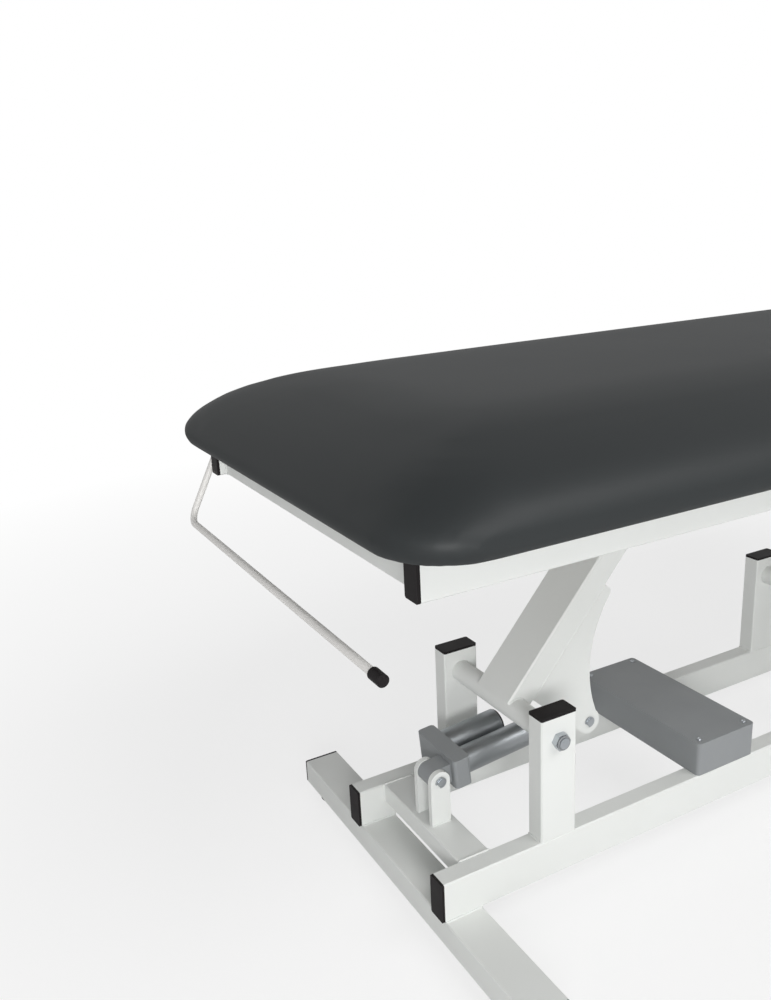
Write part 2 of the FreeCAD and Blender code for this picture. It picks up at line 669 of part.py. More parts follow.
# Control box across the base rails: a tray, a lid and a power inlet.
box_width = "Sizes.post_gap + 2 * Sizes.post_width"
tray = new_body("control_box")
plan = sketch_on(tray, "XY_Plane", "plan")
rectangle(plan, "outside", "Sizes.box_length", box_width)
block = pad(tray, plan, "Sizes.box_height - Sizes.lid_height")
round_edges(tray, block, vector(0, 0, 1), "Sizes.case_round")
hollow = sketch_on(tray, "XY_Plane", "hollow")
hollow.AttachmentOffset = FreeCAD.Placement(vector(0, 0, 1), FreeCAD.Rotation())
hollow.setExpression("AttachmentOffset.Base.z", "Sizes.box_height - Sizes.lid_height")
rectangle(hollow, "inside", "Sizes.box_length - 2 * Sizes.box_wall",
          box_width + " - 2 * Sizes.box_wall")
before = tray.Shape.Volume
cavity = tray.newObject("PartDesign::Pocket", "control_box_cavity")
cavity.Profile = hollow
cavity.setExpression("Length", "Sizes.box_height - Sizes.lid_height - Sizes.box_wall")
doc.recompute()
if not tray.Shape.Volume < before:
    raise RuntimeError("the control box is not hollow")
put(tray, "Places.box_x", "0", "Places.base_top")
lid = new_body("control_box_lid")
plan = sketch_on(lid, "XY_Plane", "plan")
rectangle(plan, "outside", "Sizes.box_length", box_width)
block = pad(lid, plan, "Sizes.lid_height")
round_edges(lid, block, vector(0, 0, 1), "Sizes.case_round")
put(lid, "Places.box_x", "0", "Places.base_top + Sizes.box_height - Sizes.lid_height")
inlet = new_body("power_inlet")
face = sketch_on(inlet, "YZ_Plane", "face")
rectangle(face, "rim", "Sizes.inlet_width", "Sizes.inlet_height")
rectangle(face, "well", "Sizes.inlet_width - 2 * Sizes.box_wall",
          "Sizes.inlet_height - 2 * Sizes.box_wall")
pad(inlet, face, "Sizes.inlet_depth")
put(inlet, "Places.box_x + Sizes.box_length / 2", "0",
    "Places.base_top + (Sizes.box_height - Sizes.lid_height) / 2")

# Top frame: side rails with end caps, end rails and the two rails that carry the upper pivots.
cap_spots = []
for side, sign in SIDES:
    body = box_tube("side_rail_" + side, "YZ_Plane", "Sizes.rail_width", "Sizes.rail_height",
                    "Places.rail_length")
    put(body, "Places.rail_end", sign + "Places.rail_y", "Places.rail_mid")
    cap_spots.append(("Places.rail_end", sign + "Places.rail_y", "Places.rail_mid", UP, 180))
    cap_spots.append(("Places.rail_end + Places.rail_length", sign + "Places.rail_y",
                      "Places.rail_mid", UP, 0))
cap = end_plug("rail_cap", "Sizes.rail_width", "Sizes.rail_height", "Sizes.cap_flange",
               "Sizes.cap_depth")
group("rail_end_caps", cap, cap_spots)
inset = "Sizes.end_rail_setback + Sizes.rail_width / 2"
cross_rails = (("foot_end_rail", "Places.rail_end + " + inset),
               ("head_end_rail", "-Places.rail_end - (%s)" % inset),
               ("front_pivot_rail", "Places.low_x + Places.swing_x"),
               ("rear_pivot_rail", "Places.rear_x + Places.swing_x"))
for label, x in cross_rails:
    body = box_tube(label, "XZ_Plane", "Sizes.rail_width", "Sizes.rail_height", "Places.cross_length",
                    symmetric=True)
    put(body, x, "0", "Places.rail_mid")
for arm, x in ARMS:
    along = x + " + Places.swing_x"
    ear = tongue(arm + "_pivot_ear", "Sizes.pivot_ear_radius", "Sizes.pivot_drop",
                 "Sizes.ear_thickness", post_hole)
    ear_y = "(Sizes.post_gap + Sizes.ear_thickness) / 2"
    group(arm + "_pivot_ears", ear, [(along, sign + ear_y, "Places.top_z", UP, 0)
                                     for side, sign in SIDES])
    axle = cross_round(arm + "_upper_axle", "Sizes.axle_diameter",
                       "Sizes.post_gap + 2 * Sizes.ear_thickness + 2 * Sizes.axle_end")
    put(axle, along, "0", "Places.top_z")
    nut_y = "(Sizes.post_gap / 2 + Sizes.ear_thickness)"
    nut_spots["upper"].append((along, "-" + nut_y, "Places.top_z", (1, 0, 0), 90))
    nut_spots["upper"].append((along, nut_y, "Places.top_z", (1, 0, 0), -90))
group("lower_axle_nuts", nut, nut_spots["lower"])
group("upper_axle_nuts", nut, nut_spots["upper"])


# A level closed curve of round corners joined by straight sides: each corner is an arc through
# three points, taken anticlockwise.
def rounded_outline(corners, height):
    curve = []
    for index, (before, middle, after) in enumerate(corners):
        following = corners[(index + 1) % len(corners)][0]
        points = [vector(x, y, height) for x, y in (before, middle, after, following)]
        curve.append(Part.Arc(*points[:3]).toShape())
        curve.append(Part.LineSegment(*points[2:]).toShape())
    return Part.Wire(curve)


# An oval of two straight sides and two round ends, as a prism from one height to another.
def oval_prism(length, width, x, low, high):
    half = (length - width) / 2
    r = width / 2
    ends = [
        ((x + half, -r), (x + half + r, 0), (x + half, r)),
        ((x - half, r), (x - half - r, 0), (x - half, -r)),
    ]
    return Part.Face(rounded_outline(ends, low)).extrude(vector(0, 0, high - low))


# A level rectangle with its four corners rounded, about the middle of the table.
def pad_outline(length, width, corner, height):
    x, y = length / 2, width / 2
    inner_x, inner_y = x - corner, y - corner
    slant = corner * (1 - math.sqrt(0.5))
    mid_x, mid_y = x - slant, y - slant
    corners = [
        ((inner_x, -y), (mid_x, -mid_y), (x, -inner_y)),
        ((x, inner_y), (mid_x, mid_y), (inner_x, y)),
        ((-inner_x, y), (-mid_x, mid_y), (-x, inner_y)),
        ((-x, -inner_y), (-mid_x, -mid_y), (-inner_x, -y)),
    ]
    return rounded_outline(corners, height)


# Board and pad: the pad is lofted through level outlines, from its rolled lower edge to its crown.
board_length = value("pad_length") - 2 * value("board_margin")
board_width = value("pad_width") - 2 * value("board_margin")
floor_z = value("rail_top")
collar = 2 * value("breathing_collar")
hole_size = (value("breathing_length"), value("breathing_width"), value("breathing_x"))


def board_shape(gap):
    outline = pad_outline(board_length + 2 * gap, board_width + 2 * gap,
                          value("board_corner") + gap, floor_z)
    slab = Part.Face(outline).extrude(vector(0, 0, value("board_thickness") + gap))
    opening = oval_prism(hole_size[0] + collar - 2 * gap, hole_size[1] + collar - 2 * gap,
                         hole_size[2], floor_z, floor_z + value("board_thickness") + gap)
    return slab.cut(opening)


# Angles, in degrees, at which the rolled lower edge and the crown are given an outline.
LOWER_TURNS = (90, 45)
CROWN_TURNS = (0, 20, 39, 56, 72, 90)


def pad_shape():
    crown_height = value("pad_thickness") - value("crown_start")
    levels = []
    for turn in LOWER_TURNS:
        lean = math.radians(turn)
        levels.append((value("under_round") * (1 - math.cos(lean)),
                       value("crown_start") * (1 - math.sin(lean))))
    for turn in CROWN_TURNS:
        lean = math.radians(turn)
        levels.append((value("crown_reach") * (1 - math.cos(lean)),
                       value("crown_start") + crown_height * math.sin(lean)))
    outlines = []
    for inset, height in levels:
        corner = max(value("pad_corner") - inset / 2, value("pad_inner_corner"))
        outlines.append(pad_outline(value("pad_length") - 2 * inset, value("pad_width") - 2 * inset,
                                    corner, floor_z + height))
    body = Part.makeLoft(outlines, True, True)
    hole = oval_prism(hole_size[0], hole_size[1], hole_size[2], floor_z,
                      floor_z + value("pad_thickness"))
    return body.cut(board_shape(value("board_gap"))).cut(hole)


for label, shape in (("pad_board", board_shape(0.0)), ("table_pad", pad_shape())):
    feature = doc.addObject("Part::Feature", label)
    feature.Label = label
    feature.Shape = shape
    pieces.append(feature)

# Roll bar: a bent bar welded to a plate on the far rail, running across under the end of the top.
bar = new_body("roll_bar")
hang, run, bend = value("bar_arm"), value("bar_y") + value("bar_end"), value("bar_bend")
spine = sketch_on(bar, "YZ_Plane", "spine")
knee, heel = vector(0, bend - hang), vector(-bend, -hang)
slant = bend * (1 - math.sqrt(0.5))
spine.addGeometry(Part.LineSegment(vector(0, 0), knee))
spine.addGeometry(arc(knee, vector(-slant, slant - hang), heel))
spine.addGeometry(Part.LineSegment(heel, vector(-run, -hang)))
knee_end = 1 if (spine.Geometry[1].StartPoint - knee).Length < 1e-6 else 2
spine.addConstraint(Sketcher.Constraint("Coincident", 0, 1, -1, 1))
spine.addConstraint(Sketcher.Constraint("Vertical", 0))
spine.addConstraint(Sketcher.Constraint("Horizontal", 2))
spine.addConstraint(Sketcher.Constraint("Tangent", 0, 2, 1, knee_end))
spine.addConstraint(Sketcher.Constraint("Tangent", 2, 1, 1, 3 - knee_end))
dimension(spine, "bend", "Sizes.bar_bend", "Radius", 1, bend)
dimension(spine, "run_x", "-Places.bar_y - Sizes.bar_end", "DistanceX", 2, 2, -run)
dimension(spine, "run_y", "-Places.bar_arm", "DistanceY", 2, 2, -hang)
section = sketch_on(bar, "XY_Plane", "section")
circle(section, "bar", "Sizes.bar_diameter")
doc.recompute()
pipe = bar.newObject("PartDesign::AdditivePipe", "roll_bar_pipe")
pipe.Profile = section
pipe.Spine = (spine, ["Edge1", "Edge2", "Edge3"])
doc.recompute()
put(bar, "Places.bar_x + Places.bar_arm * sin(Sizes.bar_lean)", "Places.bar_y",
    "Places.bar_z + Places.bar_arm * cos(Sizes.bar_lean)", ACROSS, "Sizes.bar_lean")
plate = new_body("roll_bar_plate")
face = sketch_on(plate, "XZ_Plane", "face")
rectangle(face, "face", "Sizes.bar_plate_length", "Sizes.bar_plate_height")
block = pad(plate, face, "Sizes.bar_plate_thickness", True)
bevel_edges(plate, block, vector(0, 1, 0), "Sizes.tube_bevel")
put(plate, "Places.rail_end + Sizes.bar_plate_length / 2",
    "(Sizes.frame_width + Sizes.bar_plate_thickness) / 2", "Places.rail_mid")
tip = turned("roll_bar_tip", [
    ("0", "0"),
    ("Sizes.bar_diameter / 2", "0"),
    ("Sizes.bar_diameter / 2 + Sizes.bar_tip_wall", "Sizes.bar_tip_wall"),
    ("Sizes.bar_diameter / 2 + Sizes.bar_tip_wall", "Sizes.bar_tip_length"),
    ("0", "Sizes.bar_tip_length")])
put(tip, "Places.bar_x", "-Sizes.bar_end - Sizes.bar_tip_length", "Places.bar_z")

# Every object has to be sound before anything is written.
doc.recompute()
for item in doc.Objects:
    if "Invalid" in item.State or "Error" in item.State:
        raise RuntimeError("failed object: " + item.Label)
os.makedirs("parts", exist_ok=True)
for piece in pieces:
    shape = piece.Shape
    if shape.isNull() or not shape.isValid():
        raise RuntimeError("bad shape: " + piece.Label)
    shape.exportStep(os.path.join("parts", piece.Label + ".step"))
print("pieces", len(pieces))
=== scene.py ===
import json
import math

import bmesh
import bpy
import numpy as np
from mathutils import Matrix, Vector


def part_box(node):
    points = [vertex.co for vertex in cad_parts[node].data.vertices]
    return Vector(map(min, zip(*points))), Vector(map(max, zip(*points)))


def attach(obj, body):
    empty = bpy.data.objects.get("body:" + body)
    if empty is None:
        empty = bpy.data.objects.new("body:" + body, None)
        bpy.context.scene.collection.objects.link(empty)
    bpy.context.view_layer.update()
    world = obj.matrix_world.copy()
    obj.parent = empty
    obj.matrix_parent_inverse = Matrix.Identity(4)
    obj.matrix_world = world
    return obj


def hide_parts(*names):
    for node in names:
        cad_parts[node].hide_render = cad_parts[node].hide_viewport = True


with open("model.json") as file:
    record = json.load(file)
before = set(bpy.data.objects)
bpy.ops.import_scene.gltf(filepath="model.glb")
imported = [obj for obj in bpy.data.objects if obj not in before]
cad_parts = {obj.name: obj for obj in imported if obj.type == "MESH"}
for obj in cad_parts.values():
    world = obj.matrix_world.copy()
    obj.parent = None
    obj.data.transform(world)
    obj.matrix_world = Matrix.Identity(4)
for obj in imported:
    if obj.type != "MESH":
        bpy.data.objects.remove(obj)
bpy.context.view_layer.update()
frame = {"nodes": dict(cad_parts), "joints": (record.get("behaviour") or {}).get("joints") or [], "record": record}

# Height-adjustable massage table, in metres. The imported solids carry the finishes, the padded top
# is upholstered over its plain solid, and welds, screws and trim go where the real one has them.

nodes = frame["nodes"]
joints = {joint["name"]: joint for joint in frame["joints"]}
mm = 0.001


# colours are written as sRGB hex and used as linear
def hexColour(text):
    levels = [int(text[i:i + 2], 16) / 255 for i in (1, 3, 5)]
    linear = [c / 12.92 if c <= 0.04045 else ((c + 0.055) / 1.055) ** 2.4 for c in levels]
    return (*linear, 1.0)


def addNode(tree, kind, settings=None, inputs=None):
    node = tree.nodes.new(kind)
    for name, value in (settings or {}).items():
        setattr(node, name, value)
    for name, value in (inputs or {}).items():
        if isinstance(value, bpy.types.NodeSocket):
            tree.links.new(value, node.inputs[name])
        else:
            node.inputs[name].default_value = value
    return node


# a principled surface, with the piece's own coordinates for its patterns
def startMaterial(name, look):
    material = bpy.data.materials.new(name)
    material.use_nodes = True
    tree = material.node_tree
    tree.nodes.clear()
    shader = addNode(tree, "ShaderNodeBsdfPrincipled")
    sockets = {"metallic": "Metallic", "ior": "IOR", "specular": "Specular IOR Level",
               "coat": "Coat Weight", "coatRoughness": "Coat Roughness"}
    for value, socket in sockets.items():
        if value in look:
            shader.inputs[socket].default_value = look[value]
    addNode(tree, "ShaderNodeOutputMaterial", inputs={"Surface": shader.outputs["BSDF"]})
    place = addNode(tree, "ShaderNodeTexCoord").outputs["Object"]
    return material, tree, shader, place


# blotches between two colours, of a given real size; a Mix node's colour sockets go by number
def mottle(tree, place, look, shader):
    blotch = addNode(tree, "ShaderNodeTexNoise",
                     inputs={"Vector": place, "Scale": 1 / (look["blotch"] * mm), "Detail": 3.0})
    blend = addNode(tree, "ShaderNodeMix", {"data_type": "RGBA"}, {"Factor": blotch.outputs["Fac"]})
    blend.inputs[6].default_value = hexColour(look["colour"])
    blend.inputs[7].default_value = hexColour(look["shade"])
    tree.links.new(blend.outputs[2], shader.inputs["Base Color"])
    rough = addNode(tree, "ShaderNodeMapRange", inputs={
        "Value": blotch.outputs["Fac"], "To Min": look["roughness"] - look["roughSpread"],
        "To Max": look["roughness"] + look["roughSpread"]})
    tree.links.new(rough.outputs["Result"], shader.inputs["Roughness"])
    return blotch


def bumpFrom(tree, height, look, shader):
    bump = addNode(tree, "ShaderNodeBump", inputs={
        "Height": height, "Strength": look["bumpStrength"], "Distance": look["depth"] * mm})
    tree.links.new(bump.outputs["Normal"], shader.inputs["Normal"])


# polyester powder coat baked on steel: satin white with a faint orange peel; on the thin bar it has flowed out
# smooth, and there its colour is painted lighter and warmer: painted light for the shade the bar sits in under the
# pad's end
powderCoatLook = {"name": "powderCoatBakedWhite", "colour": "#E6E8E6", "shade": "#DEE0DD",
                  "blotch": 160, "roughness": 0.4, "roughSpread": 0.05, "peel": 2.2, "depth": 0.05,
                  "bumpStrength": 0.15, "ior": 1.5}
barCoatPaintedLightLook = dict(powderCoatLook, name="powderCoatSmoothPaintedLight", colour="#F1EFEC",
                   shade="#EAE8E5", peel=5.0, bumpStrength=0.04)


def makePowderCoat(look):
    material, tree, shader, place = startMaterial(look["name"], look)
    mottle(tree, place, look, shader)
    peel = addNode(tree, "ShaderNodeTexNoise",
                   inputs={"Vector": place, "Scale": 1 / (look["peel"] * mm), "Detail": 1.0})
    bumpFrom(tree, peel.outputs["Fac"], look, shader)
    return material


# PU-coated upholstery vinyl, embossed: charcoal, matt, with a thin coat that gives soft glows and a
# fine pebble grain that is drawn coarser than the real half millimetre so that it shows
vinylLook = {"colour": "#2F3233", "shade": "#2B2E2F", "blotch": 240, "roughness": 0.7,
             "roughSpread": 0.05, "grain": 1.5, "pebbleSmooth": 0.6, "pebbleShare": -0.6,
             "crease": 5, "depth": 0.22, "bumpStrength": 0.3,
             "ior": 1.48, "specular": 0.02, "coat": 0.45, "coatRoughness": 0.47}


def makeVinyl():
    look = vinylLook
    material, tree, shader, place = startMaterial("vinylEmbossedCharcoal", look)
    mottle(tree, place, look, shader)
    pebble = addNode(tree, "ShaderNodeTexVoronoi", {"feature": "SMOOTH_F1"}, {
        "Vector": place, "Scale": 1 / (look["grain"] * mm), "Smoothness": look["pebbleSmooth"]})
    crease = addNode(tree, "ShaderNodeTexNoise",
                     inputs={"Vector": place, "Scale": 1 / (look["crease"] * mm), "Detail": 4.0})
    height = addNode(tree, "ShaderNodeMath", {"operation": "MULTIPLY_ADD"})
    tree.links.new(pebble.outputs["Distance"], height.inputs[0])
    height.inputs[1].default_value = look["pebbleShare"]
    tree.links.new(crease.outputs["Fac"], height.inputs[2])
    bumpFrom(tree, height.outputs["Value"], look, shader)
    return material


# moulded plastics and rubber: one recipe, each with its own gloss, and with the mould's grit of
# about 0.1 mm drawn coarser so that it shows
mouldedLooks = {
    "black_plastic": {"name": "polyethyleneMouldedBlack", "colour": "#1B1819", "shade": "#221F20",
                      "blotch": 30, "roughness": 0.5, "roughSpread": 0.08, "grit": 0.8,
                      "depth": 0.05, "bumpStrength": 0.35, "ior": 1.51, "specular": 0.12},
    "grey_plastic": {"name": "absMouldedGrey", "colour": "#8F9294", "shade": "#888B8D",
                     "blotch": 60, "roughness": 0.48, "roughSpread": 0.06, "grit": 1.0,
                     "depth": 0.05, "bumpStrength": 0.3, "ior": 1.54},
    "rubber": {"name": "rubberMouldedBlack", "colour": "#262626", "shade": "#303030",
               "blotch": 12, "roughness": 0.75, "roughSpread": 0.1, "grit": 1.2,
               "depth": 0.1, "bumpStrength": 0.4, "ior": 1.52},
}


# spark-eroded moulds leave an even matt grit
def makeMoulded(slotName):
    look = mouldedLooks[slotName]
    material, tree, shader, place = startMaterial(look["name"], look)
    mottle(tree, place, look, shader)
    grit = addNode(tree, "ShaderNodeTexNoise",
                   inputs={"Vector": place, "Scale": 1 / (look["grit"] * mm), "Detail": 2.0})
    bumpFrom(tree, grit.outputs["Fac"], look, shader)
    return material


# metals: zinc plate on turned steel has a bluish bloom, anodised aluminium a fine even matt; their
# tool marks, 0.1 to 0.2 mm apart, are drawn millimetres apart so that they show
metalLooks = {
    "zinc_steel": {"name": "steelTurnedZincPlated", "colour": "#C4C8CB", "shade": "#ADB2B8",
                   "blotch": 14, "roughness": 0.34, "roughSpread": 0.08, "lines": 3.14,
                   "waver": 0.6, "depth": 0.02, "bumpStrength": 0.3, "metallic": 1.0},
    "grey_alloy": {"name": "aluminiumAnodisedGrey", "colour": "#A7AAAD", "shade": "#9DA1A4",
                   "blotch": 40, "roughness": 0.42, "roughSpread": 0.05, "lines": 5.03,
                   "waver": 0.6, "depth": 0.02, "bumpStrength": 0.25, "metallic": 1.0},
}
waveTurns = 20  # radians that a Wave texture runs through in one unit at scale 1


def makeMetal(slotName):
    look = metalLooks[slotName]
    material, tree, shader, place = startMaterial(look["name"], look)
    mottle(tree, place, look, shader)
    turning = addNode(tree, "ShaderNodeTexWave", {"bands_direction": "Y"}, {
        "Vector": place, "Scale": 2 * math.pi / (waveTurns * look["lines"] * mm),
        "Distortion": look["waver"], "Detail": 1.0})
    bumpFrom(tree, turning.outputs["Fac"], look, shader)
    return material


# birch plywood, sanded and primed grey: the long grain still shows through the thin coat
plywoodLook = {"colour": "#A5A19B", "shade": "#8E8A83", "blotch": 14, "stretch": 0.06,
               "roughness": 0.6, "roughSpread": 0.06, "depth": 0.1, "bumpStrength": 0.3, "ior": 1.5}


def makePlywood():
    look = plywoodLook
    material, tree, shader, place = startMaterial("birchPlywoodPrimedGrey", look)
    along = addNode(tree, "ShaderNodeMapping",
                    inputs={"Vector": place, "Scale": (look["stretch"], 1, 1)})
    grain = mottle(tree, along.outputs["Vector"], look, shader)
    bumpFrom(tree, grain.outputs["Fac"], look, shader)
    return material


finishes = {"white_powder_coat": makePowderCoat(powderCoatLook),
            "charcoal_vinyl": makeVinyl(),
            "plywood": makePlywood()}
for slotName in mouldedLooks:
    finishes[slotName] = makeMoulded(slotName)
for slotName in metalLooks:
    finishes[slotName] = makeMetal(slotName)

for subpart in frame["record"]["subparts"]:
    mesh = nodes[subpart["node"]].data
    mesh.materials.clear()
    mesh.materials.append(finishes[subpart["material_slot"]])
# the roll bar gets the copy of the coat painted lighter, painted light that brightens it in the pad's shade
nodes["roll_bar"].data.materials[0] = makePowderCoat(barCoatPaintedLightLook)


def meshObject(name, bm):
    bmesh.ops.recalc_face_normals(bm, faces=bm.faces)
    mesh = bpy.data.meshes.new(name)
    bm.to_mesh(mesh)
    bm.free()
    made = bpy.data.objects.new(name, mesh)
    bpy.context.scene.collection.objects.link(made)
    return made


def addPiece(name, bm, slotName, body, smooth=True):
    piece = meshObject(name, bm)
    piece.data.materials.append(finishes[slotName])
    piece.data.polygons.foreach_set("use_smooth", [smooth] * len(piece.data.polygons))
    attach(piece, body)
    return piece


# joins rings of equal point counts with quads and closes the first and the last
def skinRings(bm, rings):
    made = [[bm.verts.new(point) for point in ring] for ring in rings]
    count = len(made[0])
    for lower, upper in zip(made, made[1:]):
        for i in range(count):
            j = (i + 1) % count
            bm.faces.new((lower[i], lower[j], upper[j], upper[i]))
    bm.faces.new(list(reversed(made[0])))
    bm.faces.new(made[-1])


# upholstered top: a crowned form over its board, with a breathing hole near the head end
padLook = {"corner": 88, "innerCorner": 8, "crownReach": 215, "crownStart": 18, "underRound": 15,
           "boardCorner": 44, "boardGap": 1.0, "sideGrow": 2, "topInset": 2, "voxel": 9,
           "holeLength": 190, "holeWidth": 120, "holeSetback": 190, "holeSteps": 64, "rimRound": 20,
           "cornerSteps": 14, "sideSteps": 90, "endSteps": 30, "crownSteps": 26, "rollSteps": 8,
           "smoothing": 4, "rimSmoothing": 10,
           "ridgeSmoothing": 40, "ridgeFrom": 60, "ridgeReach": 140, "ridgeFade": 0.7,
           "swell": 4, "easing": 14, "stiffness": 80, "pressure": 4.0, "frames": 20,
           "clothQuality": 4, "clothMass": 0.4,
           "pleats": 9, "pleatDepth": 1.0, "pleatFrom": 0.6}


# points round a level rectangle with rounded corners, the same number for every size
def ringPoints(halfX, halfY, corner, z):
    look = padLook
    points = []
    turns = ((1, -1, -90, look["endSteps"]), (1, 1, 0, look["sideSteps"]),
             (-1, 1, 90, look["endSteps"]), (-1, -1, 180, look["sideSteps"]))
    for signX, signY, start, steps in turns:
        centre = Vector((signX * (halfX - corner), signY * (halfY - corner), z))
        for k in range(look["cornerSteps"] + 1):
            turn = math.radians(start + 90 * k / look["cornerSteps"])
            points.append(centre + corner * Vector((math.cos(turn), math.sin(turn), 0)))
        run = Vector((-math.sin(turn), math.cos(turn), 0))
        across = 2 * ((halfY if start in (-90, 90) else halfX) - corner)
        for k in range(1, steps):
            points.append(points[-k] + run * (across * k / steps))
    return points


def easePoints(bm, points):
    bmesh.ops.smooth_vert(bm, verts=points, factor=0.5, use_axis_x=True, use_axis_y=True,
                          use_axis_z=True)


# the pad's measures: half sizes, heights of its underside and top, and its breathing hole
padLow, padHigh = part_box("table_pad")
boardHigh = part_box("pad_board")[1]
halfX, halfY = padHigh.x + padLook["sideGrow"] * mm, padHigh.y + padLook["sideGrow"] * mm
floorZ, topZ = padLow.z, padHigh.z - padLook["topInset"] * mm
crownStart, boardGap = padLook["crownStart"] * mm, padLook["boardGap"] * mm
holeX = padHigh.x - padLook["holeSetback"] * mm
holeHalf, holeRadius = padLook["holeLength"] / 2 * mm, padLook["holeWidth"] / 2 * mm


# distance of a point from the edge of the breathing hole, in plan
def holeDistance(point):
    beyond = max(abs(point.x - holeX) - (holeHalf - holeRadius), 0)
    return math.hypot(beyond, point.y) - holeRadius


# how far the pad is drawn in and how high it is, up its rolled lower edge and then over its crown
def padLevels():
    look = padLook
    levels = []
    for k in range(look["rollSteps"]):
        turn = math.radians(90 - 90 * k / look["rollSteps"])
        levels.append((look["underRound"] * mm * (1 - math.cos(turn)),
                       floorZ + crownStart * (1 - math.sin(turn))))
    for k in range(look["crownSteps"] + 1):
        turn = math.radians(90 * k / look["crownSteps"])
        levels.append((look["crownReach"] * mm * (1 - math.cos(turn)),
                       floorZ + crownStart + (topZ - floorZ - crownStart) * math.sin(turn)))
    return levels


# the skin starts in the recess for the board
def padSkin():
    look = padLook
    boardRing = (boardHigh.x + boardGap, boardHigh.y + boardGap,
                 look["boardCorner"] * mm + boardGap)
    rings = [ringPoints(*boardRing, boardHigh.z + boardGap), ringPoints(*boardRing, floorZ)]
    for drawIn, height in padLevels():
        corner = max(look["corner"] * mm - drawIn / 2, look["innerCorner"] * mm)
        rings.append(ringPoints(halfX - drawIn, halfY - drawIn, corner, height))
    bm = bmesh.new()
    skinRings(bm, rings)
    return addPiece("upholsteredTop", bm, "charcoal_vinyl", "table_top")


# the breathing hole is cut with an oval prism, and the skin is then meshed evenly
def cutHole(pad):
    look = padLook
    rings = []
    for z in (floorZ - holeRadius, topZ + holeRadius):
        ring = []
        for k in range(look["holeSteps"]):
            turn = 2 * math.pi * (k + 0.5) / look["holeSteps"]
            side = math.copysign(holeHalf - holeRadius, math.cos(turn))
            ring.append(Vector((holeX + side + holeRadius * math.cos(turn),
                                holeRadius * math.sin(turn), z)))
        rings.append(ring)
    bm = bmesh.new()
    skinRings(bm, rings)
    cutter = meshObject("holeCutter", bm)
    hole = pad.modifiers.new("breathingHole", "BOOLEAN")
    hole.operation = "DIFFERENCE"
    hole.solver = "EXACT"
    hole.object = cutter
    remesh = pad.modifiers.new("evenSkin", "REMESH")
    remesh.mode = "VOXEL"
    remesh.voxel_size = look["voxel"] * mm
    settleMesh(pad)
    bpy.data.objects.remove(cutter)


def settleMesh(piece):
    view = bpy.context.evaluated_depsgraph_get()
    mesh = bpy.data.meshes.new_from_object(piece.evaluated_get(view))
    piece.modifiers.clear()
    mesh.materials.clear()
    mesh.materials.append(piece.data.materials[0])
    mesh.polygons.foreach_set("use_smooth", [True] * len(mesh.polygons))
    piece.data = mesh


# the foam rounds off every cut edge, most of all along the crown's ridge at each corner, where the
# rounding fades out to the sides, and at the rim of the hole
def roundPad(pad):
    look = padLook
    bm = bmesh.new()
    bm.from_mesh(pad.data)
    upper = [v for v in bm.verts if v.co.z > boardHigh.z + boardGap + look["voxel"] * mm]
    for k in range(look["smoothing"]):
        easePoints(bm, upper)
    for k in range(look["ridgeSmoothing"]):
        share = (k + 1) / look["ridgeSmoothing"]
        reach = look["ridgeReach"] * mm * (1 - look["ridgeFade"] * share)
        lowest = floorZ + look["ridgeFrom"] * mm * (1 + share) / 2
        ridge = []
        for v in upper:
            inX, inY = halfX - abs(v.co.x), halfY - abs(v.co.y)
            if (v.co.z > lowest and abs(inX - inY) < reach
                    and max(inX, inY) < look["crownReach"] * mm + reach):
                ridge.append(v)
        easePoints(bm, ridge)
    rim = [v for v in upper if abs(holeDistance(v.co)) < look["rimRound"] * mm
           and v.co.z > topZ - 3 * look["rimRound"] * mm]
    for k in range(look["rimSmoothing"]):
        easePoints(bm, rim)
    bm.to_mesh(pad.data)
    bm.free()
    print("pad skin", len(pad.data.vertices), "points")


# cover pressed outwards by the foam, held along the underside and down the hole
def swellPad(pad):
    look = padLook
    start = np.empty(3 * len(pad.data.vertices))
    pad.data.vertices.foreach_get("co", start)
    start = start.reshape(-1, 3)
    top = start[:, 2].max()
    held = pad.vertex_groups.new(name="held")
    for i, co in enumerate(start):
        deep = top - co[2] > 2 * look["rimRound"] * mm
        inHole = holeDistance(Vector(co)) < look["voxel"] * mm
        if co[2] < floorZ + crownStart / 2 or (deep and inHole):
            held.add([i], 1.0, "REPLACE")
    cloth = pad.modifiers.new("swell", "CLOTH")
    settings = cloth.settings
    settings.quality = look["clothQuality"]
    settings.mass = look["clothMass"]
    settings.tension_stiffness = settings.compression_stiffness = look["stiffness"]
    settings.shear_stiffness = look["stiffness"] / 2
    settings.vertex_group_mass = "held"
    settings.use_pressure = True
    settings.uniform_pressure_force = look["pressure"]
    settings.effector_weights.gravity = 0.0
    cloth.collision_settings.use_collision = False
    cloth.point_cache.frame_start = 1
    cloth.point_cache.frame_end = look["frames"]
    scene = bpy.context.scene
    for k in range(1, look["frames"] + 1):
        scene.frame_set(k)
    settleMesh(pad)
    scene.frame_set(1)
    easeSwell(pad, start)
    pad.vertex_groups.clear()


# the foam evens the cover out: sharp folds are spread over their surroundings
def easeSwell(pad, start):
    look = padLook
    count = len(start)
    moved = np.empty(3 * count)
    pad.data.vertices.foreach_get("co", moved)
    moves = moved.reshape(-1, 3) - start
    ends = np.empty(2 * len(pad.data.edges), dtype=int)
    pad.data.edges.foreach_get("vertices", ends)
    ends = ends.reshape(-1, 2)
    around = np.bincount(ends.ravel(), minlength=count)[:, None] + 1
    for k in range(look["easing"]):
        total = moves.copy()
        np.add.at(total, ends[:, 0], moves[ends[:, 1]])
        np.add.at(total, ends[:, 1], moves[ends[:, 0]])
        moves = total / around
    size = np.linalg.norm(moves, axis=1, keepdims=True)
    cap = look["swell"] * mm
    moves *= cap / (cap + size)
    pad.data.vertices.foreach_set("co", (start + moves).ravel())
    print("pad swollen by up to", round(float(size.max()) / mm, 1), "mm before the cap")


